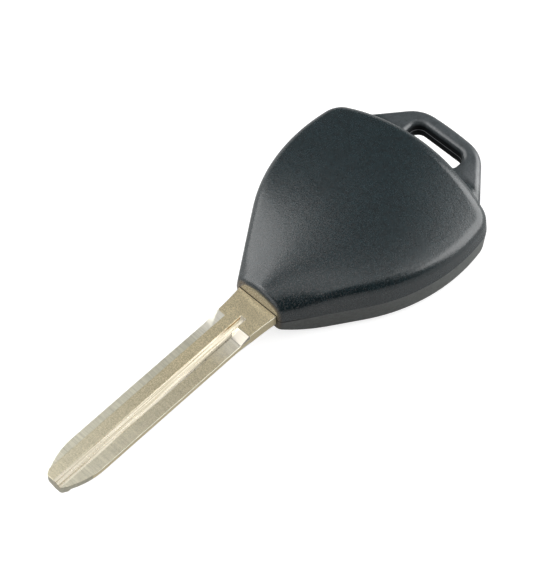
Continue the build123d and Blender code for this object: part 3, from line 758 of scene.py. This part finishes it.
def horn(size, middle, thickness):
    """Horn sign with two sound arcs."""
    box_length, box_width, box_y = (share * size for share in (0.24, 0.22, 0.36))
    mouth, throat, flare_length, flare_y = (share * size for share in (0.38, 0.14, 0.28, 0.13))
    arc_width, arc_y, *arc_radii = (share * size for share in (0.07, 0.02, 0.26, 0.42))
    mouth_side = 0.54 * size
    box = flat_box((box_length, box_width, thickness), middle + Vector((0, box_y, 0)))
    deselect_all()
    bpy.ops.mesh.primitive_cone_add(
        vertices=4, radius1=mouth, radius2=throat, depth=flare_length, location=(0, 0, 0),
    )
    flare = bpy.context.object
    edit(flare)
    for degrees, axis in ((45, "Z"), (90, "X")):
        bpy.ops.transform.rotate(
            value=math.radians(degrees), orient_axis=axis, center_override=(0, 0, 0),
        )
    close_edit()
    flare.data.transform(Matrix.Diagonal((1.0, 1.0, thickness / mouth_side, 1.0)))
    flare.data.transform(Matrix.Translation(middle + Vector((0, flare_y, 0))))
    arcs_at = middle + Vector((0, arc_y, 0))
    arcs = [
        flat_arc(radius, arc_width, thickness, arcs_at, [(1, 1, 0), (-1, 1, 0)])
        for radius in arc_radii
    ]
    return [box, flare, *arcs]


# ---------------------------------------------------------------- the groups of pieces

class OBJECT_OT_key_head(bpy.types.Operator):
    """Finish the rear and the front cover"""

    bl_idname = "object.key_head"
    bl_label = "Head covers"

    def execute(self, context):
        look = context.scene.key_head
        covers = (
            ("rear_cover", "rear_shell", "grained plastic", look.plastic, look.grain_depth, 0.27),
            ("front_cover", "front_shell", "satin plastic", look.front_plastic,
             look.grain_depth * 0.5, 0.3),
        )
        for node, name, material, colour, depth, roughness in covers:
            cover = smoothed(node, name, look.smooth_angle)
            wear(cover, cover_plastic(material, tuple(colour), look.grain, depth, roughness))
        return {"FINISHED"}


class OBJECT_OT_key_blade(bpy.types.Operator):
    """Finish the blade"""

    bl_idname = "object.key_blade"
    bl_label = "Blade"

    def execute(self, context):
        look = context.scene.key_blade
        low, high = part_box("key_blade")
        blade = smoothed("key_blade", "blade", BLADE_ANGLE, look.edge)
        wear(blade, nickel_silver(look, (low.z + high.z) / 2, (high.z - low.z) / 2))
        return {"FINISHED"}


class OBJECT_OT_key_buttons(bpy.types.Operator):
    """Finish the buttons and print their signs"""

    bl_idname = "object.key_buttons"
    bl_label = "Buttons"

    def execute(self, context):
        look = context.scene.key_buttons
        plastic = plain_plastic("button plastic", tuple(look.plastic), 0.4)
        paint = ceramic("printed paint", tuple(look.paint))
        for name in BUTTONS:
            cap = smoothed("button_" + name, "cap_" + name, SMALL_PIECE_ANGLE)
            wear(cap, plastic)
            low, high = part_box("button_" + name)
            size = (high.x - low.x) * look.sign_share
            thickness = 2 * look.sign_sunk
            middle = Vector(((low.x + high.x) / 2, 0, low.z + look.sign_sunk - look.sign_proud))
            if name == "panic":
                parts = horn(size, middle, thickness)
            else:
                parts = padlock(size, middle, thickness, name == "unlock")
            sign = joined(parts, "sign_" + name)
            wear(sign, paint)
            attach(sign, body_with("button_" + name))
            slot_of("button_" + name)
        return {"FINISHED"}


class OBJECT_OT_key_module(bpy.types.Operator):
    """Finish the mat, the remote module and the chip"""

    bl_idname = "object.key_module"
    bl_label = "Remote module"

    def execute(self, context):
        black = plain_plastic("module plastic", (0.03, 0.03, 0.032), 0.5)
        steel = plated("plated steel", (0.72, 0.72, 0.70), 0.28)
        spring = plated("spring strip", (0.74, 0.70, 0.58), 0.3, (0.1, 1.0, 1.0))
        looks = {
            "module_case": black,
            "module_lid": black,
            "module_gasket": silicone("gasket silicone", (0.33, 0.06, 0.035)),
            "circuit_board": solder_mask("solder mask"),
            "dome_lock": steel,
            "dome_unlock": steel,
            "dome_panic": steel,
            "battery_cell": steel,
            "crystal": steel,
            "resonator": steel,
            "contact_positive": spring,
            "contact_negative": spring,
            "microcontroller": plain_plastic("moulding compound", (0.02, 0.02, 0.02), 0.55),
            "transponder_chip": plain_plastic("chip plastic", (0.018, 0.018, 0.02), 0.35),
            "trimmer": ceramic("pale ceramic", (0.68, 0.60, 0.42)),
        }
        for node, material in looks.items():
            wear(smoothed(node, node + "_dressed", SMALL_PIECE_ANGLE), material)
        self.mat_behind_buttons(silicone("mat silicone", (0.07, 0.07, 0.075)))
        return {"FINISHED"}

    def mat_behind_buttons(self, rubber):
        """The mat, cut in three fields, one at each button."""
        ends = {name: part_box("button_" + name) for name in BUTTONS}
        first_cut = (ends["lock"][1].x + ends["unlock"][0].x) / 2
        second_cut = (ends["unlock"][1].x + ends["panic"][0].x) / 2
        # Each cut: its place along the key, and whether the side beyond it is kept.
        cuts = {
            "lock": [(first_cut, False)],
            "unlock": [(first_cut, True), (second_cut, False)],
            "panic": [(second_cut, True)],
        }
        for name in BUTTONS:
            field = smoothed("keypad_mat", "keypad_mat_" + name, SMALL_PIECE_ANGLE)
            wear(field, rubber)
            edit(field)
            for x, keep_beyond in cuts[name]:
                cut((x, 0, 0), (1, 0, 0), keep_beyond)
            close_edit()
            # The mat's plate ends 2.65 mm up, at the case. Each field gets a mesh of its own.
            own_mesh(field)


# ---------------------------------------------------------------- the stage

def direction(turn, rise):
    """Unit vector to a direction round the key, in radians; turn 0 is +X and 90 degrees is +Y."""
    level = math.cos(rise)
    return Vector((math.cos(turn) * level, math.sin(turn) * level, math.sin(rise)))


def towards(azimuth, elevation):
    """The same in degrees."""
    return direction(math.radians(azimuth), math.radians(elevation))


def place_camera(scene, look):
    """The camera looks at the middle of the view from the direction in the settings."""
    deselect_all()
    back = direction(look.azimuth, look.elevation)
    bpy.ops.object.camera_add(location=Vector(VIEW_CENTRE) + back * look.distance)
    camera = bpy.context.object
    camera.rotation_euler = back.to_track_quat("Z", "Y").to_euler()
    camera.data.lens = look.lens
    camera.data.sensor_width = 36.0
    camera.data.clip_start, camera.data.clip_end = 0.01, 10.0
    scene.camera = camera


def lay_floor():
    """A pale floor just under the key. The camera sees it white."""
    deselect_all()
    bpy.ops.mesh.primitive_plane_add(size=FLOOR_SIZE, location=(0, 0, FLOOR_Z))
    floor = bpy.context.object
    floor.name = "floor"
    pale = Finish("pale floor", base_color=FLOOR_GREY, roughness=0.6)
    rays = pale.node("ShaderNodeLightPath").outputs
    reflected = FLOOR_IN_REFLECTIONS * Num(pale, rays["Is Glossy Ray"])
    seen = Num(pale, rays["Is Camera Ray"]) + reflected
    pale.put(emission_color=pale.mix(seen, BLACK, WHITE), emission_strength=FLOOR_GLOW)
    wear(floor, pale.material)


def lamp(name, size, distance, azimuth, elevation, radiance):
    """A soft box, aimed at the key."""
    deselect_all()
    back = towards(azimuth, elevation)
    bpy.ops.object.light_add(type="AREA", location=Vector(LAMP_AIM) + back * distance)
    box = bpy.context.object
    box.name = name
    box.data.shape = "RECTANGLE"
    box.data.size, box.data.size_y = size
    box.data.energy = radiance * math.pi * size[0] * size[1]
    box.rotation_euler = back.to_track_quat("Z", "Y").to_euler()


def card(name, size, azimuth, elevation, glow):
    """A card that only shows in reflections, square to its direction from the key."""
    deselect_all()
    bpy.ops.mesh.primitive_plane_add(size=1.0, location=(0, 0, 0))
    sheet = bpy.context.object
    sheet.name = name
    back = towards(azimuth, elevation)
    turn = back.to_track_quat("Z", "Y").to_matrix().to_4x4()
    stretch = Matrix.Diagonal((size[0], size[1], 1.0, 1.0))
    sheet.data.transform(Matrix.Translation(back * CARD_DISTANCE) @ turn @ stretch)
    sheet.visible_camera = sheet.visible_diffuse = False
    sheet.visible_shadow = sheet.visible_transmission = False
    felt = Finish(name, base_color=BLACK, roughness=1.0, specular_ior_level=0.0)
    felt.put(emission_color=WHITE, emission_strength=glow)
    wear(sheet, felt.material)


def light_room(scene, backdrop):
    """A white backdrop for the camera, and a dim room for what falls on the key."""
    world = bpy.data.worlds.new("studio")
    scene.world = world
    world.use_nodes = True
    studio = Nodes(world.node_tree)
    rays = studio.node("ShaderNodeLightPath").outputs
    camera, through, glossy = (
        Num(studio, rays[name])
        for name in ("Is Camera Ray", "Is Transmission Ray", "Is Glossy Ray")
    )
    seen = camera.maths("MAXIMUM", through.maths("MAXIMUM", ROOM_IN_REFLECTIONS * glossy))
    dim, white = (
        studio.node("ShaderNodeBackground", None, {"Color": WHITE, "Strength": strength})
        for strength in (ROOM_LIGHT, backdrop)
    )
    both = studio.node(
        "ShaderNodeMixShader", None, {0: seen, 1: dim.outputs[0], 2: white.outputs[0]},
    )
    studio.node("ShaderNodeOutputWorld", None, {"Surface": both.outputs[0]})


class OBJECT_OT_key_stage(bpy.types.Operator):
    """Set the camera, the lamps, the floor and the backdrop"""

    bl_idname = "object.key_stage"
    bl_label = "Stage"

    def execute(self, context):
        look = context.scene.key_stage
        place_camera(context.scene, look)
        lay_floor()
        for settings in LAMPS:
            lamp(*settings)
        for settings in CARDS:
            card(*settings)
        light_room(context.scene, look.backdrop)
        context.scene.view_settings.view_transform = "Standard"
        return {"FINISHED"}


# ---------------------------------------------------------------- panel and registration

class VIEW3D_PT_key(bpy.types.Panel):
    """Lists the steps that make the key, with their settings."""

    bl_label = "Car Key"
    bl_idname = "VIEW3D_PT_key"
    bl_space_type = "VIEW_3D"
    bl_region_type = "UI"
    bl_category = "Car Key"

    def draw(self, context):
        for step in STEPS:
            self.layout.operator(step.bl_idname)
        for name, group in GROUPS.items():
            box = self.layout.box()
            for key in group.__annotations__:
                box.prop(getattr(context.scene, name), key)


STEPS = (
    OBJECT_OT_key_head,
    OBJECT_OT_key_blade,
    OBJECT_OT_key_buttons,
    OBJECT_OT_key_module,
    OBJECT_OT_key_stage,
)
GROUPS = {
    "key_head": KeyHeadSettings,
    "key_blade": KeyBladeSettings,
    "key_buttons": KeyButtonSettings,
    "key_stage": KeyStageSettings,
}


def register():
    for cls in (*GROUPS.values(), *STEPS, VIEW3D_PT_key):
        bpy.utils.register_class(cls)
    for name, group in GROUPS.items():
        setattr(bpy.types.Scene, name, PointerProperty(type=group))


def unregister():
    for name in GROUPS:
        delattr(bpy.types.Scene, name)
    for cls in (VIEW3D_PT_key, *reversed(STEPS), *reversed(tuple(GROUPS.values()))):
        bpy.utils.unregister_class(cls)


def main():
    register()
    bpy.ops.object.key_head()
    bpy.ops.object.key_blade()
    bpy.ops.object.key_buttons()
    bpy.ops.object.key_module()
    bpy.ops.object.key_stage()


if __name__ == "__main__":
    main()
